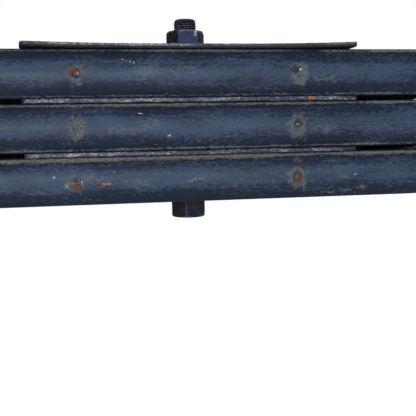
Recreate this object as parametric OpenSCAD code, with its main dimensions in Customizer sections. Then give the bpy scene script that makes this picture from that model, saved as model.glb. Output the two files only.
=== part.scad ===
// Three-leaf taper spring with rolled eyes, bonded rubber bushes, seat liners and rebound clips.
// +X runs from the front eye to the rear eye, +Y across the leaves, +Z up.
// The origin is where the centre bolt's axis leaves the underside of the third leaf.

/* [Leaves] */
// Width of every leaf and liner
leaf_w = 76; // [60:1:100]
// Thickness of each leaf at the seat
leaf_t = 25; // [22:0.5:28]
// Thickness of each leaf at its ends
tip_t = 12; // [10:0.5:13]
// Radius of the rounded side edges
edge_r = 21; // [18:0.5:40]
// Half length of the flat seat
seat_half = 120; // [100:1:130]
// Distance from the centre bolt to where each eye starts to roll
arm_x = 560; // [540:5:620]
// Rise of the main leaf over each arm
camber = 84; // [60:2:110]

/* [Liners] */
// Thickness of the steel liners
liner_t = 2.5; // [1.5:0.5:4]
// Half length of the steel liners
liner_half = 90; // [84:1:95]
// Lift of the top liner's free ends
liner_lift = 1.2; // [0:0.1:2]

/* [Centre bolt] */
// Diameter of the bolt
bolt_d = 12.7; // [12:0.1:14]
// Width across flats of the nut
nut_af = 19; // [18:0.5:22]
// Height of the nut
nut_h = 10.5; // [8:0.5:12]
// Width across flats of the bolt's head
head_af = 18; // [16:0.5:20]
// Height of the bolt's head
head_h = 12; // [8:0.5:14]
// Thread standing out above the nut
thread_out = 6.5; // [3:0.5:10]

/* [Eyes and bushes] */
// Inner radius of the rolled eyes
eye_r = 22.5; // [20:0.5:25]
// Angle that each eye is rolled through
eye_wrap = 308; // [290:1:310]
// Radius of the hole for the pivot bolt
pivot_r = 8.15; // [7:0.05:9]
// Length of the bushes' inner sleeves
pivot_len = 84; // [80:1:96]

/* [Rebound clips] */
// Distance from the centre bolt to each clip
clip_x = 300; // [260:5:340]
// Width of the clip strap along the leaf
clip_w = 32; // [28:1:36]
// Thickness of the clip strap
clip_t = 6; // [5:0.5:7]
// Radius of the spacer roller
roller_r = 8; // [7:0.5:9]

/* [Hidden] */
// Dimples in the side edges, where the leaf is gripped while its ends are rolled.
dimple_x = 58.5;
dimple_shift = [-3.1, -3.6, -4.2];
dimple_r = 4.2;
dimple_depth = 1.5;
// Trimmed corners of the liners' ends.
trim_along = 3;
trim_across = 16;
// Centre bolt.
bolt_play = 0.25;
bolt_tip = 1.5;
bolt_tip_h = 2.6;
nut_turn = 2;
head_turn = 13;
chamfer = 0.07;               // of the width across flats
running = 0.06;
// Lower leaves and the pads near their tips.
tip_2 = arm_x - 12;
tip_3 = arm_x - 62;
tip_round = 12;
pad_in = 24;
pad_r = 14;
pad_stem_r = 6;
pad_crown = 1.4;
pad_slope = 5;
pad_gap = 5;
pad_clear = 0.4;
pad_lift = 0.2;               // the flat pad stands on a slightly hollow leaf
tip_hole_play = 0.1;
// Eyes.
scarf = 4;                    // thickness lost at the eye's free end
scarf_from = 0.8;
eye_skin = 0.3;               // bored out of the rolled eye
sleeve_wall = 2;
sleeve_in_r = 12.4;
rubber_proud = 1;
// Rebound clips.
side_play = 1;
strap_gap = 0.3;              // under the leaf, which tapers across the flat strap
rebound_gap = 4;
strap_bend = 9;
rivet_r = 5;
rivet_play = 0.1;
rivet_head_r = 8.5;
rivet_dome_r = 9.5;
rivet_dome_z = -5;
clip_bolt_r = 5;
clip_bolt_play = 0.2;
clip_af = 17;
clip_head_h = 6.4;
clip_nut_h = 8;
clip_bolt_out = 11;           // bolt end beyond the strap, on the nut's side
roller_play = 0.3;
// Smoothness.
arm_steps = 20;
eye_steps = 44;
edge_steps = 8;
liner_steps = 10;
fine = 64;
eps = 0.02;

pitch_z = leaf_t + liner_t;
leaf_z = [leaf_t / 2 + 2 * pitch_z, leaf_t / 2 + pitch_z, leaf_t / 2];
stack_top = 3 * pitch_z;
paint = [0.12, 0.15, 0.21];
bare = [0.45, 0.45, 0.5];
black = [0.09, 0.09, 0.1];
zinc = [0.62, 0.62, 0.6];

// Each leaf is flat over the seat. Along its arms it rises as a parabola, c times the square
// of the distance from the seat, and its thickness falls as a square root down to tip_t.
function taper(x) = x <= seat_half ? leaf_t
    : max(tip_t, leaf_t * sqrt(max(0, (arm_x - x) / (arm_x - seat_half))));
function rise(c, x) = x <= seat_half ? 0 : c * pow(x - seat_half, 2);
function slope(c, x) = x <= seat_half ? 0 : atan(2 * c * (x - seat_half));
function half_t(c, x) = taper(x) / 2 / cos(slope(c, x));

// The curve that brings a lower leaf to pad_gap below the leaf above it, at x.
function curve_under(c_above, x) =
    c_above + (pitch_z - 2 * half_t(c_above, x) - pad_gap) / pow(x - seat_half, 2);
c_main = camber / pow(arm_x - seat_half, 2);
c_second = curve_under(c_main, tip_2 - pad_in);
c_third = curve_under(c_second, tip_3 - pad_in);
leaf_c = [c_main, c_second, c_third];
function centre_z(i, x) = leaf_z[i] + rise(leaf_c[i], x);

// A station is [x, z, angle, thickness, width].
function arm_station(i, x, w) = [x, centre_z(i, x), slope(leaf_c[i], x), taper(x), w];
function arm(i, x_end) = [for (k = [0:arm_steps])
    arm_station(i, seat_half + (x_end - seat_half) * k / arm_steps, leaf_w)];
function rounded_tip(i, x_end) = [for (a = [22.5:22.5:90])
    arm_station(i, x_end + tip_round * sin(a), leaf_w - 2 * tip_round * (1 - cos(a)))];

// The eye: the main leaf rolls up and over, and its free end is scarfed thinner.
eye_in_r = eye_r - eye_skin;
eye_a = slope(c_main, arm_x);
eye_c = [arm_x - sin(eye_a) * (eye_in_r + tip_t / 2),
    centre_z(0, arm_x) + cos(eye_a) * (eye_in_r + tip_t / 2)];
function eye_t(k) = tip_t - scarf * max(0, (k / eye_steps - scarf_from) / (1 - scarf_from));
function eye() = [for (k = [1:eye_steps])
    let (a = eye_a + eye_wrap * k / eye_steps, t = eye_t(k), r = eye_in_r + t / 2)
    [eye_c[0] + sin(a) * r, eye_c[1] - cos(a) * r, a, t, leaf_w]];

function mirrored(half) = [for (k = [len(half) - 1:-1:0])
    [-half[k][0], half[k][1], -half[k][2], half[k][3], half[k][4]]];
function both_sides(half) = concat(mirrored(half), half);

// Cross-sections as [across, up] points: convex side edges on a leaf, square ones on a liner.
function edge_y(n, w) = w / 2 - edge_r + sqrt(pow(edge_r, 2) - n * n);
function leaf_ring(t, w) = concat(
    [for (k = [0:edge_steps]) let (n = t * (k / edge_steps - 0.5)) [edge_y(n, w), n]],
    [for (k = [0:edge_steps]) let (n = t * (0.5 - k / edge_steps)) [-edge_y(n, w), n]]);
function flat_ring(t, w) = [[w / 2, -t / 2], [w / 2, t / 2], [-w / 2, t / 2], [-w / 2, -t / 2]];

// Joins one ring per station into a closed solid.
module sweep(stations, rings) {
    m = len(rings[0]);
    n = len(stations);
    points = [for (i = [0:n - 1]) for (p = rings[i])
        [stations[i][0] - p[1] * sin(stations[i][2]), p[0], stations[i][1] + p[1] * cos(stations[i][2])]];
    sides = [for (i = [0:n - 2]) for (k = [0:m - 1])
        [i * m + k, i * m + (k + 1) % m, (i + 1) * m + (k + 1) % m, (i + 1) * m + k]];
    first_end = [for (k = [m - 1:-1:0]) k];
    last_end = [for (k = [0:m - 1]) (n - 1) * m + k];
    polyhedron(points, concat([first_end, last_end], sides));
}

module leaf_blank(half) {
    stations = both_sides(half);
    sweep(stations, [for (s = stations) leaf_ring(s[3], s[4])]);
}

module bolt_hole(z) {
    translate([0, 0, z]) cylinder(r = bolt_d / 2 + bolt_play, h = 2 * leaf_t, center = true, $fn = fine);
}

module dimples(i) {
    for (sx = [-1, 1], sy = [-1, 1])
        translate([sx * dimple_x + dimple_shift[i], sy * (leaf_w / 2 + dimple_r - dimple_depth), leaf_z[i]])
            sphere(r = dimple_r, $fn = fine);
}

module on_side(side) {
    if (side < 0) mirror([1, 0, 0]) children();
    else children();
}

// Puts a piece on a leaf's centre line at x, with its z along the leaf's normal.
module on_leaf(i, x) {
    translate([x, 0, centre_z(i, x)]) rotate([0, -slope(leaf_c[i], x), 0]) children();
}

module round_holes(i, x, r) {
    for (side = [-1, 1])
        on_side(side) on_leaf(i, x) cylinder(r = r, h = 2 * leaf_t, center = true, $fn = fine);
}

module main_leaf() {
    color(paint) difference() {
        leaf_blank(concat(arm(0, arm_x), eye()));
        bolt_hole(leaf_z[0]);
        dimples(0);
        for (side = [-1, 1]) at_eye(side) cylinder(r = eye_r, h = 2 * leaf_w, center = true, $fn = fine);
    }
}

module second_leaf() {
    color(paint) difference() {
        leaf_blank(concat(arm(1, tip_2 - tip_round), rounded_tip(1, tip_2 - tip_round)));
        bolt_hole(leaf_z[1]);
        dimples(1);
        round_holes(1, tip_2 - pad_in, pad_stem_r + tip_hole_play);
    }
}

module third_leaf() {
    color(paint) difference() {
        leaf_blank(concat(arm(2, tip_3 - tip_round), rounded_tip(2, tip_3 - tip_round)));
        bolt_hole(leaf_z[2]);
        dimples(2);
        round_holes(2, tip_3 - pad_in, pad_stem_r + tip_hole_play);
        round_holes(2, clip_x, rivet_r + rivet_play);
    }
}

module liner(z) {
    corner_x = liner_half - trim_along;
    end_y = leaf_w / 2 - trim_across;
    quarter = [[corner_x, leaf_w / 2], [liner_half, end_y]];
    outline = [for (turn = [[1, 1], [1, -1], [-1, -1], [-1, 1]]) for (k = [0, 1])
        let (p = quarter[turn[0] * turn[1] > 0 ? k : 1 - k]) [turn[0] * p[0], turn[1] * p[1]]];
    color(bare) difference() {
        translate([0, 0, z]) linear_extrude(liner_t) polygon(outline);
        bolt_hole(z);
    }
}

// The top liner is clamped only by the nut, so its free ends stand a little off the leaf.
module top_liner() {
    flat = 20;
    lift_c = liner_lift / pow(liner_half - flat, 2);
    z = stack_top - liner_t / 2;
    full = liner_half - trim_along - flat;
    runs = concat([for (k = [0:liner_steps]) full * k / liner_steps], [full + trim_along]);
    half = [for (run = runs)
        [flat + run, z + lift_c * pow(run, 2), atan(2 * lift_c * run), liner_t,
            run > full ? leaf_w - 2 * trim_across : leaf_w]];
    stations = both_sides(half);
    color(bare) difference() {
        sweep(stations, [for (s = stations) flat_ring(s[3], s[4])]);
        bolt_hole(stack_top);
    }
}

// A hexagon whose corners are chamfered at its lower end, its upper end or both.
module hex(af, h, low, high) {
    corner = af / sqrt(3);
    cut = chamfer * af;
    flat = af / 2 - eps;
    profile = concat([[0, 0]],
        low ? [[flat, 0], [corner, cut]] : [[corner + 1, 0]],
        high ? [[corner, h - cut], [flat, h]] : [[corner + 1, h]],
        [[0, h]]);
    intersection() {
        cylinder(r = corner, h = h, $fn = 6);
        rotate_extrude($fn = fine) polygon(profile);
    }
}

module centre_bolt() {
    top = stack_top + nut_h + thread_out;
    color(black) {
        translate([0, 0, -head_h]) rotate([0, 0, head_turn]) hex(head_af, head_h, true, false);
        translate([0, 0, -1]) cylinder(d = bolt_d, h = top - bolt_tip_h + 1, $fn = fine);
        translate([0, 0, top - bolt_tip_h])
            cylinder(d1 = bolt_d, d2 = bolt_d - 2 * bolt_tip, h = bolt_tip_h, $fn = fine);
    }
}

module nut(af, h, r) {
    difference() {
        hex(af, h, true, true);
        cylinder(r = r + running, h = 3 * h, center = true, $fn = fine);
    }
}

module centre_nut() {
    color(black) translate([0, 0, stack_top]) rotate([0, 0, nut_turn]) nut(nut_af, nut_h, bolt_d / 2);
}

// Puts a piece on an eye's axis, with its z along the axis.
module at_eye(side) {
    on_side(side) translate([eye_c[0], 0, eye_c[1]]) rotate([90, 0, 0]) children();
}

module tube(r_out, r_in, len) {
    difference() {
        cylinder(r = r_out, h = len, center = true, $fn = fine);
        cylinder(r = r_in, h = 2 * len, center = true, $fn = fine);
    }
}

module bush_outer_sleeve(side) {
    color(zinc) at_eye(side) tube(eye_r - eps, eye_r - sleeve_wall, leaf_w);
}

module bush_rubber(side) {
    color(black) at_eye(side)
        tube(eye_r - sleeve_wall - eps, sleeve_in_r + running, leaf_w + 2 * rubber_proud);
}

module bush_inner_sleeve(side) {
    color(zinc) at_eye(side) tube(sleeve_in_r, pivot_r, pivot_len);
}

// A clip stands square to the third leaf. Its z = 0 is strap_gap below the leaf's underside.
clip_a = slope(c_third, clip_x);
clip_stack = (centre_z(0, clip_x) - centre_z(2, clip_x)) * cos(clip_a)
    + taper(clip_x) / 2 + half_t(c_main, clip_x) * cos(clip_a) + strap_gap;
strap_in = leaf_w / 2 + side_play;
strap_out = strap_in + clip_t;
roller_z = clip_stack + rebound_gap + roller_r;

module at_clip(side) {
    on_side(side) on_leaf(2, clip_x) translate([0, 0, -taper(clip_x) / 2 - strap_gap]) children();
}

// One side of the strap: the bend, the upright and the rounded lug round the clip bolt.
module strap_side() {
    flat_y = strap_out - strap_bend;
    intersection() {
        translate([0, flat_y, strap_bend - clip_t]) rotate([0, 90, 0])
            tube(strap_bend, strap_bend - clip_t, clip_w);
        translate([-clip_w, flat_y, -clip_t]) cube([2 * clip_w, strap_bend, strap_bend]);
    }
    translate([-clip_w / 2, strap_in, strap_bend - clip_t])
        cube([clip_w, clip_t, roller_z + clip_t - strap_bend]);
    translate([0, strap_in + clip_t / 2, roller_z]) rotate([90, 0, 0])
        cylinder(r = clip_w / 2, h = clip_t, center = true, $fn = fine);
    translate([-clip_w / 2, -eps, -clip_t]) cube([clip_w, flat_y + eps, clip_t]);
}

module clip_strap(side) {
    color(paint) at_clip(side) difference() {
        union() {
            strap_side();
            mirror([0, 1, 0]) strap_side();
        }
        translate([0, 0, roller_z]) rotate([90, 0, 0])
            cylinder(r = clip_bolt_r + clip_bolt_play, h = 2 * leaf_w, center = true, $fn = fine);
        cylinder(r = rivet_r + rivet_play, h = 4 * clip_t, center = true, $fn = fine);
    }
}

module rivet_head() {
    intersection() {
        translate([0, 0, rivet_dome_z]) sphere(r = rivet_dome_r, $fn = fine);
        cylinder(r = rivet_head_r, h = rivet_dome_r, $fn = fine);
    }
}

module clip_rivet(side) {
    t = taper(clip_x) + 2 * strap_gap;
    color(black) at_clip(side) {
        translate([0, 0, -clip_t - 1]) cylinder(r = rivet_r, h = t + clip_t + 2, $fn = fine);
        translate([0, 0, t]) rivet_head();
        translate([0, 0, -clip_t - eps]) mirror([0, 0, 1]) rivet_head();
    }
}

// Puts a piece on a clip bolt's axis, with its z towards the bolt's head.
module at_clip_bolt(side) {
    at_clip(side) translate([0, 0, roller_z]) rotate([90, 0, 0]) children();
}

module clip_bolt(side) {
    color(zinc) at_clip_bolt(side) {
        translate([0, 0, -strap_out - clip_bolt_out])
            cylinder(r = clip_bolt_r, h = 2 * strap_out + clip_bolt_out + 1, $fn = fine);
        translate([0, 0, strap_out + eps]) hex(clip_af, clip_head_h, false, true);
    }
}

module clip_nut(side) {
    color(zinc) at_clip_bolt(side)
        translate([0, 0, -strap_out - clip_nut_h - eps]) nut(clip_af, clip_nut_h, clip_bolt_r);
}

module clip_roller(side) {
    color(zinc) at_clip_bolt(side) tube(roller_r, clip_bolt_r + running, 2 * (strap_in - roller_play));
}

// Air between a leaf and the one above it at x, along the lower leaf's normal.
function air(i, x) = (centre_z(i - 1, x) - half_t(leaf_c[i - 1], x) - centre_z(i, x))
    * cos(slope(leaf_c[i], x)) - taper(x) / 2;

module tip_pad(i, x, side) {
    t = taper(x);
    h = air(i, x) - pad_clear;
    color(black) on_side(side) on_leaf(i, x) {
        translate([0, 0, -t / 2]) cylinder(r = pad_stem_r, h = t + 1, $fn = fine);
        translate([0, 0, t / 2 + pad_lift]) cylinder(r = pad_r, h = h - pad_crown - pad_lift, $fn = fine);
        translate([0, 0, t / 2 + h - pad_crown])
            cylinder(r1 = pad_r, r2 = pad_r - pad_slope, h = pad_crown, $fn = fine);
    }
}

main_leaf();
second_leaf();
third_leaf();
top_liner();
liner(leaf_t + pitch_z);  // upper_liner
liner(leaf_t);  // lower_liner
centre_bolt();
centre_nut();
bush_outer_sleeve(-1);  // front_bush_outer_sleeve
bush_rubber(-1);  // front_bush_rubber
bush_inner_sleeve(-1);  // front_bush_inner_sleeve
bush_outer_sleeve(1);  // rear_bush_outer_sleeve
bush_rubber(1);  // rear_bush_rubber
bush_inner_sleeve(1);  // rear_bush_inner_sleeve
clip_strap(-1);  // front_clip_strap
clip_rivet(-1);  // front_clip_rivet
clip_bolt(-1);  // front_clip_bolt
clip_roller(-1);  // front_clip_roller
clip_nut(-1);  // front_clip_nut
clip_strap(1);  // rear_clip_strap
clip_rivet(1);  // rear_clip_rivet
clip_bolt(1);  // rear_clip_bolt
clip_roller(1);  // rear_clip_roller
clip_nut(1);  // rear_clip_nut
tip_pad(1, tip_2 - pad_in, -1);  // second_leaf_front_pad
tip_pad(1, tip_2 - pad_in, 1);  // second_leaf_rear_pad
tip_pad(2, tip_3 - pad_in, -1);  // third_leaf_front_pad
tip_pad(2, tip_3 - pad_in, 1);  // third_leaf_rear_pad
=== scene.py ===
"""Three-leaf taper spring: worn navy paint, scuffed liners, rusty grip dimples, threaded centre bolt."""

import math

import bmesh
import bpy
from mathutils import Matrix, Vector, noise


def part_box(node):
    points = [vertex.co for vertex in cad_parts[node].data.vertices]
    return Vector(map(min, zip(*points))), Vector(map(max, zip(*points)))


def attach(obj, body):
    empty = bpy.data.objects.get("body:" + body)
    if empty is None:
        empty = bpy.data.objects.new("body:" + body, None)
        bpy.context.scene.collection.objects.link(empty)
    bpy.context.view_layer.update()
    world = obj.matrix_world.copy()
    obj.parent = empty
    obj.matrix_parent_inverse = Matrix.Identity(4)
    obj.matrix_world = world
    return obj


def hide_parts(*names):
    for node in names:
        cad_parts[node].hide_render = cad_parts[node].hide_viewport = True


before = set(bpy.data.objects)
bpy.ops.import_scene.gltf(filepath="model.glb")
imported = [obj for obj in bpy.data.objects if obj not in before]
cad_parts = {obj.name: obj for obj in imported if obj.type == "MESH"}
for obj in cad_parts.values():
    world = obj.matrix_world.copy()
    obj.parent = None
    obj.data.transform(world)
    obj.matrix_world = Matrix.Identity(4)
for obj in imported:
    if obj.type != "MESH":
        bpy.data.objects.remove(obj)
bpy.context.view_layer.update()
MM = 0.001

# Driving dimensions of the leaves, in metres, as the CAD model has them. The third leaf stands on z = 0
# and the lower liner lies on it.
LEAF_W = 2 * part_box("main_leaf")[1].y
LINER_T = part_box("lower_liner")[1].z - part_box("lower_liner")[0].z
LEAF_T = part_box("lower_liner")[0].z
PITCH = LEAF_T + LINER_T
LEAF_Z = {"main_leaf": LEAF_T / 2 + 2 * PITCH, "second_leaf": LEAF_T / 2 + PITCH, "third_leaf": LEAF_T / 2}
TIP_T = 12 * MM
EDGE_R = 21 * MM
CORNER_R = 1.3 * MM
SEAT_HALF = 120 * MM
ARM_X = 560 * MM
CAMBER = 84 * MM
TIP_X = {"second_leaf": ARM_X - 12 * MM, "third_leaf": ARM_X - 62 * MM}
TIP_ROUND = 12 * MM
PAD_IN = 24 * MM
PAD_GAP = 5 * MM
PAD_STEM_R = 6.1 * MM
CLIP_X = 300 * MM
RIVET_R = 5.1 * MM

# The main leaf's rolled eyes: the bore's radius, the skin bored out of the leaf, and how far it is rolled.
EYE_R = 22.5 * MM
EYE_SKIN = 0.3 * MM
EYE_WRAP = math.radians(308)
EYE_SHAVE = 0.1 * MM  # keeps the smooth eye inside the CAD's faceted one
# The rolled end is thinned by SCARF over the turn's last share, from SCARF_FROM on.
SCARF = 4 * MM
SCARF_FROM = 0.8

# The centre bolt and its nut.
BOLT_R = 6.35 * MM
THREAD_PITCH, THREAD_DEPTH, THREAD_LENGTH = 1.27 * MM, 0.72 * MM, 34 * MM
BOLT_TIP = 2.6 * MM
NUT_AF, NUT_TURN = 19 * MM, math.radians(2)
HEAD_AF, HEAD_TURN = 18 * MM, math.radians(13)
# How bright each side of the hexagon is painted, counted anticlockwise from the turn's corner: a painted
# highlight on the high sides and painted shade on the low ones.
NUT_SIDE_LIGHT = (0.5, 0.2, 0.65, 0.0, 1.0, 0.0)
HEAD_SIDE_LIGHT = (0.6, 0.1, 0.4, 0.05, 0.3, 0.15)
# Where round the nut its front side is knocked, in degrees.
KNOCK_AT = -65


# ---------------------------------------------------------------- mesh helpers

def mesh_object(name, verts, faces):
    """A smooth-shaded mesh object in the row frame from points in metres."""
    mesh = bpy.data.meshes.new(name)
    mesh.from_pydata([tuple(v) for v in verts], [], faces)
    mesh.validate()
    mesh.update()
    obj = bpy.data.objects.new(name, mesh)
    bpy.context.scene.collection.objects.link(obj)
    mesh.polygons.foreach_set("use_smooth", [True] * len(mesh.polygons))
    return obj


def point_values(obj, name, values):
    """Stores one number per vertex, which a material reads by this name."""
    obj.data.attributes.new(name, "FLOAT", "POINT").data.foreach_set("value", values)


def ring_faces(rings, steps):
    """Quads between neighbouring closed rings of steps points each."""
    faces = []
    for i in range(rings - 1):
        for k in range(steps):
            near, far = i * steps, (i + 1) * steps
            after = (k + 1) % steps
            faces.append((near + k, near + after, far + after, far + k))
    return faces


def sharpen(obj, degrees):
    """Smooth shading that stays crisp over edges sharper than this."""
    mesh = obj.data
    bm = bmesh.new()
    bm.from_mesh(mesh)
    bmesh.ops.recalc_face_normals(bm, faces=bm.faces)
    for e in bm.edges:
        e.smooth = len(e.link_faces) == 2 and e.calc_face_angle(0) < math.radians(degrees)
    bm.to_mesh(mesh)
    bm.free()


def bar(name, verts, sections, values, crease):
    """A closed bar through this many cross-sections, with named values stored at its points."""
    steps = len(verts) // sections
    faces = [tuple(reversed(f)) for f in ring_faces(sections, steps)]
    faces += [tuple(range(steps)), tuple(reversed(range(len(verts) - steps, len(verts))))]
    obj = mesh_object(name, verts, faces)
    for key, numbers in values.items():
        point_values(obj, key, numbers)
    sharpen(obj, crease)
    return obj


def smooth_step(edge_0, edge_1, x):
    """0 at edge_0, 1 at edge_1 and smooth between them, either way round."""
    t = min(1.0, max(0.0, (x - edge_0) / (edge_1 - edge_0)))
    return t * t * (3 - 2 * t)


# ---------------------------------------------------------------- leaf geometry

def taper(x):
    """A leaf's thickness at x: full over the seat, then parabolic down to the tip's."""
    if x <= SEAT_HALF:
        return LEAF_T
    return max(TIP_T, LEAF_T * math.sqrt(max(0.0, (ARM_X - x) / (ARM_X - SEAT_HALF))))


def rise(c, x):
    """How far the arm curve c has lifted the leaf at x."""
    return c * max(0.0, x - SEAT_HALF) ** 2


def slope(c, x):
    return math.atan(2 * c * max(0.0, x - SEAT_HALF))


def curve_under(c_above, x):
    """The arm curve of a leaf that comes to PAD_GAP below the leaf above it at x."""
    thick = taper(x) / math.cos(slope(c_above, x))
    return c_above + (PITCH - thick - PAD_GAP) / (x - SEAT_HALF) ** 2


CURVE = {"main_leaf": CAMBER / (ARM_X - SEAT_HALF) ** 2}
CURVE["second_leaf"] = curve_under(CURVE["main_leaf"], TIP_X["second_leaf"] - PAD_IN)
CURVE["third_leaf"] = curve_under(CURVE["second_leaf"], TIP_X["third_leaf"] - PAD_IN)

# Grip dimples in each leaf's side edges, as (x, radius) in mm.
DIMPLES = {
    "main_leaf": [(-61.6, 3.0), (55.4, 2.7)],
    "second_leaf": [(-62.1, 2.6), (54.9, 3.1)],
    "third_leaf": [(-62.7, 3.0), (54.3, 3.2)],
}
DIMPLE_DEPTH = 1.3 * MM
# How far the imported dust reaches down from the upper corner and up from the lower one, in mm.
DUST_REACH = {"main_leaf": (2.1, 2.4), "second_leaf": (2.8, 2.3), "third_leaf": (3.4, 1.0)}

# A filler on the undersides of the main and second leaves that closes most of the gap between the leaves
# beyond the liners, so that the slit there reads dark: a dark filler put where there is only shade. Where
# along them it starts and ends, the lengths over which it builds up and fades out, its depth, and how far it
# reaches from the middle of the width.
FILL_FROM, FILL_TO = 90.1 * MM, 150 * MM
FILL_RAMP, FILL_FADE = 0.9 * MM, 20 * MM
FILL_DEPTH = 2.2 * MM
FILL_HALF = LEAF_W / 4

# Marks on the side edges: kind, then (x, height above the leaf's middle, half length, half height) in mm,
# and a strength where it is not 1.
MARKS = {
    "main_leaf": {
        "chalk": [(-38.7, 4.0, 2.6, 1.0), (-61.6, -4.0, 5.2, 3.6, 1.3), (-26, 0.5, 9, 3.5),
                  (-7, 1.2, 12, 3.4), (70, -3, 11, 3)],
        "halo": [(-61.6, 1.2, 7.2, 3.4), (55.8, -1.0, 5.2, 6.8, 1.2)],
        "dark": [(-62.2, 0.7, 3.8, 2.9, 0.9), (53.2, 1.4, 3.6, 2.4, 1.2)],
        "rust": [(-62.9, 0.6, 2.7, 2.1), (-57.8, 1.7, 3.2, 1.5, 0.5), (-66.6, 1.1, 2.2, 1.2, 0.5)],
        "glint": [(-60.7, -0.1, 0.5, 1.2), (-62.2, -1.6, 1.6, 0.4), (-62.6, 2.3, 0.6, 0.5),
                  (56.2, 1.4, 0.7, 0.7, 1.4), (-38, 7, 0.9, 0.5), (-36.1, 6.1, 0.6, 0.4),
                  (-34.5, 5.7, 0.8, 0.4), (-32.3, 5.3, 0.8, 0.6), (-16, -10.4, 0.7, 0.4),
                  (-11.5, -10, 0.6, 0.4)],
    },
    "second_leaf": {
        "chalk": [(-38, -2, 12, 3), (-25, 2, 7, 3.4), (69, -2.5, 11, 3)],
        "halo": [(-62.1, -0.2, 5.6, 6.4, 1.1), (54.5, -1, 5.6, 7, 1.2)],
        "dark": [(55, 0.4, 3.2, 3.4), (80.5, 0.2, 2.4, 1.4, 0.8)],
        "scratch": [(-62.1, -0.1, 3.2, 4.2, 0.8), (5.1, -3.3, 0.9, 1.2), (-22, -9, 2.5, 0.3)],
        "glint": [(-29.3, 6.9, 1.9, 0.6), (-15, -4.8, 1.2, 0.8), (54.6, 0.0, 0.6, 0.6, 1.3),
                  (59.5, 3.2, 0.5, 0.4), (53, 2.6, 0.4, 0.4)],
    },
    "third_leaf": {
        "chalk": [(-34, -1, 12, 3), (-54, 1, 7, 4)],
        "halo": [(-62.8, -1.4, 5.4, 5.2, 0.9), (-67.5, -1.4, 2.6, 2.2), (54.1, -1, 5.6, 6.4, 1.2),
                 (54.3, 8.3, 4.4, 2.2, 0.7), (80, -1.2, 3, 1.6, 0.7)],
        "dark": [(-62.8, -1.4, 3.6, 3.8), (-67.2, -1.6, 1.1, 0.9), (54.1, -0.9, 3.4, 4.2),
                 (-50.8, -1.9, 1.8, 2)],
        "rust": [(-62.9, -1.5, 2.1, 2.4), (-50.8, -1.9, 1.4, 1.7), (54.2, -0.6, 1.8, 2.5),
                 (80, -1.2, 1.6, 0.9, 0.6)],
        "scratch": [(-67.9, -1.3, 1.8, 1.5), (-9.5, -1.9, 1.8, 0.8), (-6, -1.3, 2.2, 0.9),
                    (-2.4, -0.8, 2.4, 1.1), (1.8, -0.2, 2.6, 1.2), (-47.9, -1.4, 2.8, 1),
                    (72, -9.8, 6, 0.8, 0.8), (82, -8.8, 7, 1.3, 0.8), (91, -7.6, 5, 2, 0.8)],
        "glint": [(-64.6, -0.8, 0.45, 1.2), (-62.4, 1.0, 1.4, 0.4), (-60.8, -0.4, 0.5, 1.5),
                  (-74.6, 2.8, 0.9, 0.5), (87.2, -0.2, 1.3, 0.5), (88.1, 7.4, 0.5, 0.6)],
    },
}
MARK_KINDS = ("chalk", "halo", "dark", "rust", "scratch", "glint")
MARKED_HALF = 105 * MM


def spaced(start, end, step):
    """Values from start up to, but not including, end."""
    count = max(1, round((end - start) / step))
    return [start + (end - start) * k / count for k in range(count)]


def arm_positions(end):
    """Distances along an arm: fine round the dimples, coarse along the arm."""
    xs = spaced(0, 49 * MM, 0.7 * MM) + spaced(49 * MM, 70 * MM, 0.42 * MM)
    xs += spaced(70 * MM, 105 * MM, 0.7 * MM) + spaced(105 * MM, 150 * MM, 3 * MM)
    return xs + spaced(150 * MM, end, 8 * MM) + [end]


def half_stations(leaf):
    """Stations (x, z, angle, thickness, width) from the middle out to the +X end."""
    c, z = CURVE[leaf], LEAF_Z[leaf]
    end = ARM_X if leaf == "main_leaf" else TIP_X[leaf] - TIP_ROUND
    out = [(x, z + rise(c, x), slope(c, x), taper(x), LEAF_W) for x in arm_positions(end)]
    if leaf == "main_leaf":
        start = slope(c, ARM_X)
        arm_r = EYE_R - EYE_SKIN + TIP_T / 2
        eye_x = ARM_X - math.sin(start) * arm_r
        eye_z = z + rise(c, ARM_X) + math.cos(start) * arm_r
        steps = 72
        for k in range(1, steps + 1):
            a = start + EYE_WRAP * k / steps
            t = TIP_T - EYE_SKIN - EYE_SHAVE - SCARF * max(0.0, (k / steps - SCARF_FROM) / (1 - SCARF_FROM))
            r = EYE_R + t / 2
            out.append((eye_x + math.sin(a) * r, eye_z - math.cos(a) * r, a, t, LEAF_W))
    else:
        for k in range(1, 9):
            a = k * math.pi / 16
            x = end + TIP_ROUND * math.sin(a)
            narrow = 2 * TIP_ROUND * (1 - math.cos(a))
            out.append((x, z + rise(c, x), slope(c, x), taper(x), LEAF_W - narrow))
    return out


def leaf_ring(t, w):
    """Cross-section as (across, up, kind): convex "edge", filleted "corner", flat "top" and "under"."""
    h = t / 2
    fillet = min(CORNER_R, h / 3)
    cx = w / 2 - EDGE_R
    fx = cx + math.sqrt((EDGE_R - fillet) ** 2 - (h - fillet) ** 2)
    beta = math.atan2(h - fillet, fx - cx)
    right = []
    for k in range(5):
        a = -math.pi / 2 + (math.pi / 2 - beta) * k / 5
        right.append((fx + fillet * math.cos(a), -(h - fillet) + fillet * math.sin(a), "corner"))
    for k in range(41):
        a = beta * (k / 20 - 1)
        right.append((cx + EDGE_R * math.cos(a), EDGE_R * math.sin(a), "edge"))
    for k in range(1, 6):
        a = beta + (math.pi / 2 - beta) * k / 5
        right.append((fx + fillet * math.cos(a), h - fillet + fillet * math.sin(a), "corner"))
    flat = [(fx * share, h) for share in (0.97, 0.8, 0.4, 0, -0.4, -0.8, -0.97)]
    left = [(-y, n, kind) for y, n, kind in reversed(right)]
    return (right + [(y, n, "top") for y, n in flat] + left
            + [(y, -n, "under") for y, n in reversed(flat)])


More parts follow.
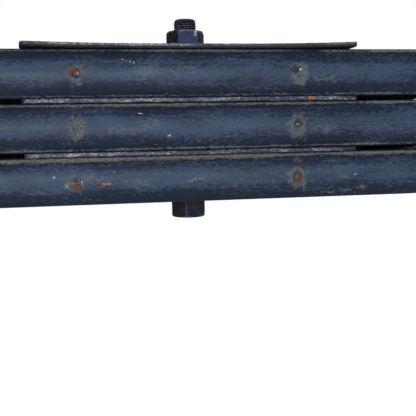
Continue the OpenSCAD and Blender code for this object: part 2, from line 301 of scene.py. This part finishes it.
def dimple_depth(leaf, x, n):
    """How deep the edge is dented at x and height n."""
    best = 0.0
    for dx, radius in DIMPLES[leaf]:
        wobble = 1 + 0.16 * noise.noise(Vector((x * 300, n * 300, dx)))
        d = math.hypot(x - dx * MM, n) / wobble
        best = max(best, DIMPLE_DEPTH * (1 - smooth_step(0.25 * radius * MM, radius * MM, d)))
    return best


def dust_band(leaf, t, n):
    """Dust just inside the edge's corners: none at the oily corner itself, most 1 mm in, then fading."""
    away = (t / 2 - abs(n)) / MM
    reach = DUST_REACH[leaf][0 if n > 0 else 1]
    return (1.4 if n > 0 else 1.15) * smooth_step(0.3, 0.9, away) * max(0.0, 1 - away / reach)


def mark_amount(places, x, n):
    """From 0 to 1 by how near (x, n) is to the nearest of these ragged oval marks."""
    best = 0.0
    for mx, mn, half_x, half_n, *strength in places:
        d = math.hypot((x / MM - mx) / half_x, (n / MM - mn) / half_n)
        if d < 2:
            d *= 1 + 0.45 * noise.noise(Vector((x * 420, n * 420, mx)))
            best = max(best, (1 - smooth_step(0.45, 1.25, d)) * (strength[0] if strength else 1))
    return best


def gap_fill(leaf, x, y):
    """How far the filler stands down from a leaf's underside, out of sight between the leaves: a dark filler
    put where there is only shade.
    """
    if leaf == "third_leaf" or abs(y) > FILL_HALF:
        return 0.0
    filling = smooth_step(FILL_FROM, FILL_FROM + FILL_RAMP, abs(x))
    return FILL_DEPTH * (filling * smooth_step(FILL_TO, FILL_TO - FILL_FADE, abs(x)))


def make_leaf(leaf):
    """One leaf from end to end, with its dimples, dust and marks on both side edges."""
    half = half_stations(leaf)
    stations = [(-x, z, -a, t, w) for x, z, a, t, w in reversed(half[1:])] + half
    verts, values = [], {name: [] for name in ("level", "corner", "top") + MARK_KINDS}
    for x, z, a, t, w in stations:
        for y, n, kind in leaf_ring(t, w):
            side = 1 if y > 0 else -1
            if kind == "edge":
                wave = 1 + noise.noise(Vector((x * 28, n * 60, side * 3 + LEAF_Z[leaf] * 99)))
                y -= side * (dimple_depth(leaf, x, n) + 0.07 * MM * wave)
            # The underside is lowered by the filler between the leaves, a dark filler put where there is
            # only shade.
            down = gap_fill(leaf, x, y) if kind == "under" else 0.0
            verts.append((x - n * math.sin(a), y, z + n * math.cos(a) - down))
            values["level"].append(n / t * 2)
            values["corner"].append(dust_band(leaf, t, n) if kind == "edge" else 0.0)
            values["top"].append(1.0 if kind == "top" else 0.0)
            marked = kind == "edge" and abs(x) < MARKED_HALF
            for name in MARK_KINDS:
                values[name].append(mark_amount(MARKS[leaf].get(name, ()), x, n) if marked else 0.0)
    return bar(leaf + "_worn", verts, len(stations), values, 50)


def drill(obj, places):
    """Cuts round holes, each (centre, direction, radius), through a piece."""
    for k, (centre, direction, radius) in enumerate(places):
        bpy.ops.mesh.primitive_cylinder_add(vertices=48, radius=radius, depth=3 * LEAF_T, location=centre)
        cutter = bpy.context.object
        cutter.rotation_euler = direction.to_track_quat("Z", "Y").to_euler()
        mod = obj.modifiers.new("hole_%d" % k, "BOOLEAN")
        mod.object, mod.operation, mod.solver = cutter, "DIFFERENCE", "EXACT"
        bpy.context.view_layer.objects.active = obj
        bpy.ops.object.modifier_apply(modifier=mod.name)
        bpy.data.objects.remove(cutter)


def leaf_point(leaf, x, side):
    """A point on the leaf's middle line at x on one side, and the leaf's normal there."""
    a = slope(CURVE[leaf], x)
    return (Vector((side * x, 0, LEAF_Z[leaf] + rise(CURVE[leaf], x))),
            Vector((-side * math.sin(a), 0, math.cos(a))))


def leaf_holes(leaf):
    """The holes for the centre bolt, the pads' stems and the clips' rivets."""
    holes = [(Vector((0, 0, LEAF_Z[leaf])), Vector((0, 0, 1)), BOLT_R + 0.25 * MM)]
    for side in (-1, 1):
        if leaf != "main_leaf":
            holes.append((*leaf_point(leaf, TIP_X[leaf] - PAD_IN, side), PAD_STEM_R))
        if leaf == "third_leaf":
            holes.append((*leaf_point(leaf, CLIP_X, side), RIVET_R))
    return holes


# ---------------------------------------------------------------- liners

# The rust chip on a liner's rim, as (x, half length) in mm, and where the top liner's wear fades out.
LINER_CHIPS = {"upper_liner": (61.5, 2.1)}
TOP_LINER_WEAR = (-6 * MM, 22 * MM)
# The liners' corners are trimmed by this much along and across them.
TRIM_ALONG, TRIM_ACROSS = 3 * MM, 16 * MM
# The top liner lies flat on the leaf up to here, and its ends lift off beyond.
LINER_FLAT = 20 * MM


def make_liner(node):
    """A thin strip with trimmed corners and knocked, slightly wavy edges."""
    lo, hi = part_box(node)
    x_half, w = (hi.x - lo.x) / 2 - 0.1 * MM, hi.y - lo.y
    chip_x, chip_half = LINER_CHIPS.get(node, (math.inf, 1))
    bow = (hi.z - lo.z - LINER_T) / (x_half - LINER_FLAT) ** 2
    fillet = 0.45 * MM
    ring = []
    for sy, sn, start in ((1, -1, -90), (1, 1, 0), (-1, 1, 90), (-1, -1, 180)):
        for k in range(4):
            a = math.radians(start + 30 * k)
            ring.append((sy * (w / 2 - fillet) + fillet * math.cos(a),
                         sn * (LINER_T / 2 - fillet) + fillet * math.sin(a)))
    verts, values = [], {"rim": [], "worn": [], "rust": [], "low": []}
    corner_x = x_half - TRIM_ALONG
    xs = [corner_x * k / 115 for k in range(116)]
    xs += [corner_x + TRIM_ALONG * math.sin(math.radians(9 * k)) for k in range(1, 11)]
    xs = [-x for x in reversed(xs[1:])] + xs
    for x in xs:
        past_corner = min(1.0, max(0.0, (abs(x) - corner_x) / TRIM_ALONG))
        trim = TRIM_ACROSS * (1 - math.sqrt(1 - past_corner ** 2))
        up = bow * max(0.0, abs(x) - LINER_FLAT) ** 2
        end = 0.35 * MM * max(0.0, 1 - (x_half - abs(x)) / (0.8 * MM)) ** 2 + trim
        worn = 1.5 - smooth_step(*TOP_LINER_WEAR, x) * 1.25 if node == "top_liner" else 0.8
        for y, n in ring:
            side = 1 if y > 0 else -1
            knock = 0.16 * MM * (1 + noise.noise(Vector((x * 160, side, lo.z * 500))))
            knock += 0.10 * MM * (1 + noise.noise(Vector((x * 640, side, lo.z * 700))))
            nick = n * (1 - 0.1 * (1 + noise.noise(Vector((x * 220, side * 5, n * 900)))))
            verts.append((x, y - side * (knock + end), lo.z + LINER_T / 2 + up + nick))
            on_rim = abs(y) > w / 2 - 1.5 * fillet
            chip = math.hypot((x / MM - chip_x) / chip_half, n / (0.45 * LINER_T))
            rust = 1 - smooth_step(0.5, 1.3, chip)
            # Painted shade: on the top liner the lower half of the rim is stored as low, to be darkened.
            low = smooth_step(0.05, -0.3, n / LINER_T) if node == "top_liner" else 0.0
            for name, v in (("rim", 1.0), ("worn", worn), ("rust", rust), ("low", low)):
                values[name].append(v if on_rim else 0.0)
    return bar(node + "_worn", verts, len(xs), values, 40)


# ---------------------------------------------------------------- centre bolt and nut

def hex_radius(angle, turn, af):
    """Distance from the axis to a hexagon's side, with slightly rounded corners."""
    a = (angle - turn) % (math.pi / 3) - math.pi / 6
    return min(af / 2 / math.cos(a), af / math.sqrt(3) * 0.978)


def hex_rings(af, z_0, z_1, turn, low, high):
    """Rings up a hexagon whose corners are rounded off over the heights low and high at its ends."""
    corner, flat = af / math.sqrt(3), af / 2 * 0.93
    shares = (0.0, 0.02, 0.07, 0.15, 0.3, 0.5, 0.75)

    def limit(z):
        sink = max((z_0 + low - z) / low if low else 0.0, (z - z_1 + high) / high if high else 0.0, 0.0)
        return flat + (corner - flat) * math.sqrt(max(0.0, 1 - sink * sink))

    def body(z, shrink=0.0):
        def at(a):
            return min(hex_radius(a, turn, af), limit(z)) - shrink, z
        return at
    rings = [body(z_0 + low * k) for k in shares] if low else [body(z_0, 0.3 * MM), body(z_0 + 0.3 * MM)]
    start, end = z_0 + max(low, 0.6 * MM), z_1 - max(high, 0.6 * MM)
    rings += [body(start + (end - start) * k / 8) for k in range(9)]
    if high:
        return rings + [body(z_1 - high * k) for k in reversed(shares)]
    return rings + [body(z_1 - 0.3 * MM), body(z_1, 0.3 * MM)]


def store_side_light(obj, turn, sides, z_0, z_1):
    """Stores how bright each side of the hexagon is painted between two heights: painted highlight on some
    sides, painted shade on others.
    """
    values = []
    for v in obj.data.vertices:
        side = int((math.atan2(v.co.y, v.co.x) - turn) % (2 * math.pi) // (math.pi / 3))
        on_side = z_0 <= v.co.z <= z_1 and v.co.xy.length > 1.2 * BOLT_R
        values.append(sides[min(side, 5)] if on_side else 0.12)
    point_values(obj, "side", values)


def lathe(name, rings, steps=96, close_low=True, close_high=True):
    """Turns rings round Z. A ring is (radius, height) or a function of the angle that returns them."""
    verts = []
    for ring in rings:
        for k in range(steps):
            a = 2 * math.pi * k / steps
            r, z = ring(a) if callable(ring) else ring
            verts.append((r * math.cos(a), r * math.sin(a), z))
    faces = ring_faces(len(rings), steps)
    if close_low:
        faces.append(tuple(reversed(range(steps))))
    if close_high:
        last = (len(rings) - 1) * steps
        faces.append(tuple(range(last, last + steps)))
    obj = mesh_object(name, verts, faces)
    sharpen(obj, 38)
    return obj


def nut_scuff(v, top):
    """Scuffs along the nut's top edge, and one knock down the right of its front side."""
    angle = math.degrees(math.atan2(v.co.y, v.co.x)) - KNOCK_AT
    knock = smooth_step(4.5, 2, abs(angle)) * smooth_step(3.8 * MM, 3 * MM, top - v.co.z)
    edge = smooth_step(1.5 * MM, 0.7 * MM, top - v.co.z)
    return max(0.7 * edge, 1.2 * knock) * (v.co.xy.length > 1.3 * BOLT_R)


def make_centre_nut():
    """The hexagon nut, with a countersunk bore and its upper corners rounded well over."""
    lo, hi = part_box("centre_nut")
    bore, mouth, sink = BOLT_R + 0.06 * MM, BOLT_R + 0.9 * MM, 0.8 * MM
    rings = [(bore, lo.z + sink), (mouth, lo.z)]
    rings += hex_rings(NUT_AF, lo.z, hi.z, NUT_TURN, 1.2 * MM, 3 * MM)
    rings += [(mouth, hi.z), (bore, hi.z - sink), (bore, lo.z + sink)]
    obj = lathe("centre_nut_worn", rings, close_low=False, close_high=False)
    point_values(obj, "scuff", [nut_scuff(v, hi.z) for v in obj.data.vertices])
    store_side_light(obj, NUT_TURN, NUT_SIDE_LIGHT, lo.z, hi.z)
    return obj


def make_centre_bolt():
    """The hex head below, the plain shank, and a helical thread up to the rounded tip."""
    lo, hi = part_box("centre_bolt")
    rings = hex_rings(HEAD_AF, lo.z, 0.0, HEAD_TURN, 2.4 * MM, 0)
    thread_low = hi.z - THREAD_LENGTH
    shank_r = BOLT_R - 0.05 * MM
    rings += [(shank_r, 0.01 * MM), (shank_r, thread_low)]
    threaded = hi.z - BOLT_TIP - thread_low
    steps = round(threaded / (THREAD_PITCH / 8))

    def thread(z, limit):
        def at(a):
            phase = (z / THREAD_PITCH - a / (2 * math.pi)) % 1
            cut = min(1.0, 2.3 * min(phase, 1 - phase))
            fade = smooth_step(0, 2 * THREAD_PITCH, z - thread_low)
            return min(limit, BOLT_R - THREAD_DEPTH * (1 - cut) * fade), z
        return at
    rings += [thread(thread_low + threaded * k / steps, BOLT_R) for k in range(1, steps + 1)]
    for k in range(1, 9):
        a = k * math.pi / 16
        rings.append(thread(hi.z - BOLT_TIP + BOLT_TIP * math.sin(a), BOLT_R - 1.9 * MM * (1 - math.cos(a))))
    rings.append((1.5 * MM, hi.z))
    obj = lathe("centre_bolt_threaded", rings)
    store_side_light(obj, HEAD_TURN, HEAD_SIDE_LIGHT, lo.z, 0.0)
    return obj


# ---------------------------------------------------------------- materials

class Shader:
    """Builds one material's nodes with short calls."""

    def __init__(self, name, base, roughness, metallic=0.0):
        self.mat = bpy.data.materials.new(name)
        self.mat.use_nodes = True
        self.tree = self.mat.node_tree
        self.surface = self.tree.nodes["Principled BSDF"]
        self.surface.inputs["Base Color"].default_value = (*base, 1)
        self.surface.inputs["Roughness"].default_value = roughness
        self.surface.inputs["Metallic"].default_value = metallic
        self.place = self.tree.nodes.new("ShaderNodeTexCoord").outputs["Object"]

    def node(self, kind, **links):
        n = self.tree.nodes.new("ShaderNode" + kind)
        for key, value in links.items():
            self.feed(n.inputs[key.replace("_", " ")], value)
        return n

    def feed(self, socket, value):
        if isinstance(value, bpy.types.NodeSocket):
            self.tree.links.new(value, socket)
        elif isinstance(value, tuple) and len(value) == 3 and socket.type == "RGBA":
            socket.default_value = (*value, 1)
        else:
            socket.default_value = value

    def noise(self, scale, detail=4.0, rough=0.55, stretch=(1, 1, 1), shift=0.0):
        """Noise in the part's own coordinates, as a value from about 0.3 to 0.7."""
        m = self.node("Mapping", Vector=self.place, Scale=stretch, Location=(shift, shift, shift))
        n = self.node("TexNoise", Vector=m.outputs[0], Scale=scale, Detail=detail, Roughness=rough)
        return n.outputs["Fac"]

    def ramp(self, value, low, high):
        """0 below low, 1 above high, smooth between them. With low above high it falls instead."""
        n = self.node("MapRange", Value=value)
        n.interpolation_type = "SMOOTHSTEP"
        flip = low > high
        for key, v in (("From Min", min(low, high)), ("From Max", max(low, high)),
                       ("To Min", 1.0 if flip else 0.0), ("To Max", 0.0 if flip else 1.0)):
            n.inputs[key].default_value = v
        return n.outputs[0]

    def math(self, kind, a, b=0.0):
        n = self.tree.nodes.new("ShaderNodeMath")
        n.operation = kind
        self.feed(n.inputs[0], a)
        self.feed(n.inputs[1], b)
        return n.outputs[0]

    def times(self, a, b):
        return self.math("MULTIPLY", a, b)

    def sway(self, value, amount):
        """A noise value as a swing about 0."""
        return self.times(self.math("SUBTRACT", value, 0.5), amount)

    def total(self, first, *rest):
        for value in rest:
            first = self.math("ADD", first, value)
        return first

    def mix(self, factor, a, b):
        n = self.tree.nodes.new("ShaderNodeMix")
        n.data_type = "RGBA"
        self.feed(n.inputs[0], factor)
        self.feed(n.inputs[6], a)
        self.feed(n.inputs[7], b)
        return n.outputs[2]

    def blend(self, factor, a, b):
        n = self.tree.nodes.new("ShaderNodeMix")
        self.feed(n.inputs[0], factor)
        self.feed(n.inputs[2], a)
        self.feed(n.inputs[3], b)
        return n.outputs[0]

    def stored(self, name):
        n = self.tree.nodes.new("ShaderNodeAttribute")
        n.attribute_name = name
        return n.outputs["Fac"]

    def mark(self, name, low, high, *swings):
        """A stored mark with its outline broken up by noise, and nothing where none is stored."""
        stored = self.stored(name)
        return self.times(self.ramp(self.total(stored, *swings), low, high), self.ramp(stored, 0.02, 0.2))

    def bump(self, height, distance, strength=1.0):
        previous = self.surface.inputs["Normal"]
        n = self.node("Bump", Height=height, Strength=strength, Distance=distance)
        if previous.is_linked:
            self.tree.links.new(previous.links[0].from_socket, n.inputs["Normal"])
        self.tree.links.new(n.outputs[0], previous)

    def set(self, name, value):
        self.feed(self.surface.inputs[name], value)


# Leaves and clips.
NAVY = (0.014, 0.020, 0.038)
SLATE = (0.050, 0.076, 0.134)
CHALK = (0.135, 0.148, 0.180)
DUST = (0.300, 0.266, 0.215)
DUST_DARK = (0.120, 0.106, 0.088)
RUST = (0.290, 0.110, 0.054)
RUST_DARK = (0.060, 0.030, 0.024)
SHADE = (0.026, 0.024, 0.030)
SCRATCH = (0.360, 0.310, 0.240)
GLINT = (0.600, 0.590, 0.590)
# Liners.
VIOLET = (0.080, 0.074, 0.100)
STEEL_BLUE = (0.058, 0.066, 0.112)
SCALE_BLACK = (0.020, 0.020, 0.032)
RUBBED = (0.250, 0.240, 0.280)
# The next colour is painted shade for the lower half of the top liner's rim.
LINER_LOW_SHADE = (0.026, 0.024, 0.022)
CHIP = (0.680, 0.240, 0.070)
CHIP_DARK = (0.360, 0.110, 0.030)
# Bolts, bushes and pads.
SOOT = (0.017, 0.016, 0.017)
# The next colour is the painted highlight on the lit hexagon sides of the bolt and nut.
LIT_SIDE_BLUE = (0.042, 0.060, 0.118)
OIL = (0.046, 0.040, 0.036)
SCUFF = (0.460, 0.500, 0.600)
ZINC, ZINC_DARK = (0.500, 0.500, 0.470), (0.250, 0.250, 0.240)
TUBE, TARNISH = (0.400, 0.400, 0.410), (0.200, 0.170, 0.140)
RUBBER, PAD_BLACK, BLOOM = (0.018,) * 3, (0.03,) * 3, (0.090, 0.085, 0.075)


def leaf_paint():
    """Navy paint with a painted highlight of slate along the middle of the side edges and painted shade
    towards their corners, packed dust at the corners and rusty dimples.
    """
    s = Shader("leaf_paint", NAVY, 0.5)
    streak = s.noise(60, 5, 0.6, stretch=(0.35, 1, 7))
    patch = s.noise(70, 4, 0.6, stretch=(0.5, 1, 1.6), shift=7)
    grain = s.noise(950, 4, 0.7, stretch=(0.45, 1, 1.1), shift=3)
    grit = s.noise(1600, 2, 0.7, shift=1)

    # Painted highlight and painted shade: the side edges are lighter slate about their middle height and
    # darker navy towards their corners, broken up by streaks, grain and patches.
    middle = s.ramp(s.math("ABSOLUTE", s.math("SUBTRACT", s.stored("level"), 0.08)), 1.0, 0.1)
    highlight_and_tone = s.total(s.times(middle, 0.6), s.sway(streak, 1.2), s.sway(grain, 2.1), s.sway(patch, 1.2))
    colour = s.mix(s.ramp(highlight_and_tone, 0.08, 0.85), NAVY, SLATE)
    chalk = s.total(s.times(s.stored("chalk"), 0.5), s.sway(patch, 1.1), s.sway(grain, 2.4))
    colour = s.mix(s.times(s.ramp(chalk, 0.15, 0.95), 0.75), colour, CHALK)

    corner = s.mark("corner", 0.25, 0.8, s.sway(patch, 1.3), s.sway(grain, 1.6))
    halo = s.mark("halo", 0.2, 1.1, s.sway(patch, 0.8), s.sway(grit, 1.8))
    on_top = s.times(s.stored("top"), s.ramp(s.total(patch, s.sway(grain, 1.0)), 0.42, 0.62))
    dusty = s.math("MAXIMUM", s.times(halo, 0.52), s.times(on_top, 0.4))
    dusty = s.math("MAXIMUM", s.times(corner, 0.85), dusty)
    colour = s.mix(dusty, colour, s.mix(s.ramp(grit, 0.38, 0.62), DUST_DARK, DUST))

    dark = s.mark("dark", 0.5, 0.9, s.sway(grit, 3.0))
    colour = s.mix(s.times(dark, 0.8), colour, SHADE)
    rust = s.mark("rust", 0.4, 0.75, s.sway(grit, 2.6))
    freckle = s.times(s.ramp(s.noise(210, 3, 0.6, shift=11), 0.76, 0.8), 0.5)
    rust_colour = s.mix(s.ramp(s.total(grain, s.sway(grit, 0.9)), 0.4, 0.62), RUST_DARK, RUST)
    colour = s.mix(s.math("MAXIMUM", rust, freckle), colour, rust_colour)
    scratch = s.mark("scratch", 0.75, 1.15, s.sway(grit, 3.2))
    colour = s.mix(s.times(scratch, 0.8), colour, SCRATCH)
    glint = s.mark("glint", 0.6, 1.0, s.sway(grit, 3.0))
    stray = s.ramp(s.noise(620, 2, 0.5, stretch=(0.6, 1, 1.2), shift=5), 0.79, 0.83)
    colour = s.mix(s.math("MAXIMUM", glint, s.times(stray, 0.7)), colour, GLINT)
    s.set("Base Color", colour)
    s.set("Specular IOR Level", 0.32)
    rough = s.blend(s.ramp(s.total(streak, s.sway(grain, 0.8)), 0.35, 0.65), 0.42, 0.62)
    s.set("Roughness", s.blend(s.math("MAXIMUM", dusty, rust), rough, 0.88))
    s.bump(streak, 0.10 * MM, 0.5)
    s.bump(grain, 0.10 * MM, 0.6)
    s.bump(s.math("SUBTRACT", 1.0, s.math("MAXIMUM", rust, scratch)), 0.15 * MM, 0.6)
    return s.mat


def liner_steel():
    """Dark violet-blue steel strip with silvery flecks along its knocked edges."""
    s = Shader("liner_steel", SCALE_BLACK, 0.5, 0.1)
    long = s.noise(110, 4, 0.65, stretch=(0.35, 1, 2.5))
    fleck = s.noise(1050, 4, 0.75, stretch=(0.55, 1, 1.3), shift=4)
    grit = s.noise(2600, 2, 0.7, stretch=(0.6, 1, 1), shift=2)
    worn = s.total(s.times(s.stored("worn"), 0.26), s.sway(long, 1.6), s.sway(fleck, 3.4))
    tint = s.mix(s.ramp(s.noise(60, 3, 0.6, shift=8), 0.42, 0.6), VIOLET, STEEL_BLUE)
    colour = s.mix(s.ramp(s.total(long, s.sway(grit, 0.6)), 0.35, 0.65), SCALE_BLACK, tint)
    colour = s.mix(s.times(s.ramp(worn, 0.15, 0.75), s.stored("rim")), colour, RUBBED)
    bright = s.times(s.ramp(s.total(worn, s.sway(grit, 1.6)), 0.62, 0.95), s.stored("rim"))
    colour = s.mix(bright, colour, GLINT)
    # Painted shade darkens the lower half of the top liner's rim.
    shaded = s.ramp(s.total(s.stored("low"), s.sway(fleck, 0.8)), 0.35, 0.75)
    colour = s.mix(s.times(shaded, 0.9), colour, LINER_LOW_SHADE)
    rust = s.mark("rust", 0.5, 0.75, s.sway(fleck, 3.4))
    colour = s.mix(rust, colour, s.mix(s.ramp(grit, 0.4, 0.55), CHIP_DARK, CHIP))
    s.set("Base Color", colour)
    s.set("Specular IOR Level", 0.35)
    s.set("Roughness", s.blend(s.math("MAXIMUM", rust, shaded), 0.45, 0.85))
    s.bump(long, 0.12 * MM, 0.6)
    s.bump(fleck, 0.10 * MM, 0.7)
    return s.mat


def black_hardware():
    """Blackened bolt steel: its hexagon sides painted blue or soot black side by side, a painted highlight
    and painted shade, with grime in patches and scuffs on the raised edges.
    """
    s = Shader("black_hardware", SOOT, 0.55)
    cloud = s.noise(300, 4, 0.6)
    grit = s.noise(2200, 3, 0.6, shift=2)
    edge = s.node("NewGeometry").outputs["Pointiness"]
    worn = s.times(s.ramp(edge, 0.515, 0.57), 0.5)
    worn = s.math("MAXIMUM", worn, s.mark("scuff", 0.55, 0.8, s.sway(cloud, 2.2), s.sway(grit, 1.6)))
    worn = s.times(worn, s.ramp(s.total(cloud, s.sway(grit, 1.4)), 0.42, 0.58))
    # Painted highlight and painted shade: each hexagon side is mixed from soot black to blue by its stored
    # brightness.
    colour = s.mix(s.ramp(s.total(s.stored("side"), s.sway(cloud, 0.7)), 0.1, 0.95), SOOT, LIT_SIDE_BLUE)
    grime = s.ramp(s.total(s.noise(160, 4, 0.6, shift=6), s.sway(grit, 0.5)), 0.5, 0.68)
    colour = s.mix(s.times(grime, 0.6), colour, OIL)
    colour = s.mix(worn, colour, SCUFF)
    s.set("Base Color", colour)
    s.set("Specular IOR Level", 0.12)
    s.set("Roughness", s.blend(s.ramp(cloud, 0.35, 0.65), 0.55, 0.75))
    s.bump(cloud, 0.1 * MM, 0.4)
    s.bump(grit, 0.04 * MM, 0.4)
    return s.mat


def clip_paint():
    """The same navy paint on the clips, chipped through to rust at their edges."""
    s = Shader("clip_paint", NAVY, 0.42)
    cloud = s.noise(90, 5, 0.6)
    fine = s.noise(1000, 3, 0.6, shift=2)
    colour = s.mix(s.ramp(cloud, 0.4, 0.7), NAVY, SLATE)
    rust = s.ramp(s.total(cloud, s.times(fine, 0.35)), 0.82, 0.9)
    colour = s.mix(rust, colour, s.mix(s.ramp(fine, 0.4, 0.6), RUST_DARK, RUST))
    s.set("Base Color", colour)
    s.set("Roughness", s.blend(rust, s.blend(cloud, 0.35, 0.6), 0.85))
    s.bump(cloud, 0.12 * MM, 0.5)
    s.bump(fine, 0.05 * MM, 0.5)
    return s.mat


def zinc():
    """Dull zinc plating with cloudy spangle."""
    s = Shader("zinc", ZINC, 0.42, 0.85)
    cloud = s.noise(150, 4, 0.6)
    fine = s.noise(1600, 3, 0.6, shift=2)
    s.set("Base Color", s.mix(s.ramp(cloud, 0.35, 0.7), ZINC_DARK, ZINC))
    s.set("Roughness", s.blend(cloud, 0.3, 0.6))
    s.bump(fine, 0.04 * MM, 0.5)
    return s.mat


def turned_steel():
    """Tube steel with fine turning lines round it and light tarnish."""
    s = Shader("turned_steel", TUBE, 0.35, 0.95)
    lines = s.noise(2600, 2, 0.5, stretch=(0.05, 1, 0.05))
    cloud = s.noise(120, 4, 0.6, shift=4)
    s.set("Base Color", s.mix(s.ramp(cloud, 0.4, 0.7), TUBE, TARNISH))
    s.set("Roughness", s.blend(cloud, 0.25, 0.5))
    s.bump(lines, 0.03 * MM, 0.5)
    return s.mat


def black_rubber(name, base):
    """Matt moulded rubber with a dusty bloom."""
    s = Shader(name, base, 0.75)
    cloud = s.noise(160, 4, 0.6)
    fine = s.noise(2400, 3, 0.6, shift=6)
    s.set("Base Color", s.mix(s.times(s.ramp(cloud, 0.45, 0.75), 0.5), base, BLOOM))
    s.set("Roughness", s.blend(cloud, 0.6, 0.9))
    s.bump(fine, 0.05 * MM, 0.6)
    return s.mat


# ---------------------------------------------------------------- assembly

def use(obj, material, slot=None, *nodes):
    """Gives a piece its material and, where nodes are named, puts it in their place on the leaf pack."""
    obj.data.materials.clear()
    obj.data.materials.append(material)
    if nodes:
        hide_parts(*nodes)
        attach(obj, "leaf_pack")


def soften(node, width):
    """Rounds a CAD node's sharp edges so that they catch the light."""
    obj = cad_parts[node]
    weld = obj.modifiers.new("weld", "WELD")
    weld.merge_threshold = 0.002 * MM
    bevel = obj.modifiers.new("bevel", "BEVEL")
    bevel.width, bevel.segments, bevel.limit_method = width, 2, "ANGLE"
    bevel.angle_limit = math.radians(40)
    return obj


def dress_spring():
    """Makes the pieces that stand in for the seat's CAD nodes, and finishes the other nodes."""
    paint, liner, black = leaf_paint(), liner_steel(), black_hardware()
    for leaf in LEAF_Z:
        obj = make_leaf(leaf)
        drill(obj, leaf_holes(leaf))
        use(obj, paint, "leaf_paint", leaf)
    for node in ("top_liner", "upper_liner", "lower_liner"):
        use(make_liner(node), liner, "liner_steel", node)
    use(make_centre_bolt(), black, "centre_hardware", "centre_bolt")
    use(make_centre_nut(), black, "centre_hardware", "centre_nut")
    plating, tube, strap = zinc(), turned_steel(), clip_paint()
    rubber, pad = black_rubber("bush_rubber", RUBBER), black_rubber("pad_polymer", PAD_BLACK)
    # Each end's CAD parts, how far their edges are rounded in mm, and their materials.
    end_parts = (("bush_outer_sleeve", 0.4, tube), ("bush_inner_sleeve", 0.6, tube),
                 ("bush_rubber", 0.8, rubber), ("clip_strap", 0.7, strap), ("clip_rivet", 0.3, black),
                 ("clip_bolt", 0.3, plating), ("clip_nut", 0.3, plating), ("clip_roller", 0.5, plating))
    for end in ("front", "rear"):
        for part, rounding, material in end_parts:
            use(soften("%s_%s" % (end, part), rounding * MM), material)
        for leaf in ("second_leaf", "third_leaf"):
            use(soften("%s_%s_pad" % (leaf, end), 0.4 * MM), pad)


# ---------------------------------------------------------------- stage, lights and camera

def shown_to_camera(tree, shader):
    """White to camera rays, so that the surround reads as plain pale, and the shader to all others."""
    seen = tree.nodes.new("ShaderNodeLightPath").outputs["Is Camera Ray"]
    white = tree.nodes.new("ShaderNodeEmission")
    mix = tree.nodes.new("ShaderNodeMixShader")
    tree.links.new(seen, mix.inputs[0])
    tree.links.new(shader.outputs[0], mix.inputs[1])
    tree.links.new(white.outputs[0], mix.inputs[2])
    return mix.outputs[0]


def make_stage():
    """A pale floor well below the held spring, in a white surround."""
    size, depth = 14.0, -0.42
    floor = mesh_object("floor", [(-size, -size, depth), (size, -size, depth), (size, size, depth),
                                  (-size, size, depth)], [(0, 1, 2, 3)])
    s = Shader("floor_pale", (0.35, 0.35, 0.35), 0.9)
    s.set("Base Color", s.mix(s.ramp(s.noise(3, 3), 0.3, 0.7), (0.33, 0.33, 0.34), (0.37, 0.37, 0.37)))
    s.tree.links.new(shown_to_camera(s.tree, s.surface), s.tree.nodes["Material Output"].inputs[0])
    floor.data.materials.append(s.mat)
    world = bpy.data.worlds.new("studio")
    bpy.context.scene.world = world
    world.use_nodes = True
    tree = world.node_tree
    tree.nodes["Background"].inputs["Color"].default_value = (0.07, 0.085, 0.12, 1)
    tree.links.new(shown_to_camera(tree, tree.nodes["Background"]), tree.nodes["World Output"].inputs[0])


def area_light(name, place, target, size, power, colour=(1, 1, 1)):
    """A soft rectangular light, size metres wide and deep, that faces its target."""
    data = bpy.data.lights.new(name, "AREA")
    data.shape, data.size, data.size_y = "RECTANGLE", size[0], size[1]
    data.energy, data.color = power, colour
    obj = bpy.data.objects.new(name, data)
    obj.location = place
    obj.rotation_euler = (Vector(target) - Vector(place)).to_track_quat("-Z", "Y").to_euler()
    bpy.context.scene.collection.objects.link(obj)


def make_lights():
    """Long low strips in front and behind, which put a soft band along the convex edges, and a top light."""
    area_light("key", (-0.3, -1.6, 0.12), (0, 0, 0.04), (1.7, 0.5), 22, (0.84, 0.93, 1))
    area_light("back", (0.3, 1.6, 0.3), (0, 0, 0.04), (1.7, 0.5), 16, (0.9, 0.95, 1))
    area_light("top", (0.0, 0.7, 1.5), (0, 0, 0.05), (2.2, 1.0), 16)


def make_camera():
    """The close view of the seat: left of the bolt and level with the second leaf."""
    place = Vector((-63.0, -411.2, 40.8)) * MM
    yaw, pitch, roll = (math.radians(v) for v in (10.27, -6.64, -0.99))
    ahead = Vector((math.sin(yaw) * math.cos(pitch), math.cos(yaw) * math.cos(pitch), math.sin(pitch)))
    level = Vector((math.cos(yaw), -math.sin(yaw), 0))
    above = level.cross(ahead)
    right = math.cos(roll) * level + math.sin(roll) * above
    up = -math.sin(roll) * level + math.cos(roll) * above
    data = bpy.data.cameras.new("camera")
    data.sensor_width, data.lens, data.clip_start = 36, 62.3, 0.01
    cam = bpy.data.objects.new("camera", data)
    cam.matrix_world = Matrix.Translation(place) @ Matrix((right, up, -ahead)).transposed().to_4x4()
    bpy.context.scene.collection.objects.link(cam)
    bpy.context.scene.camera = cam
    bpy.context.scene.view_settings.view_transform = "Standard"


make_camera()
make_stage()
make_lights()
dress_spring()
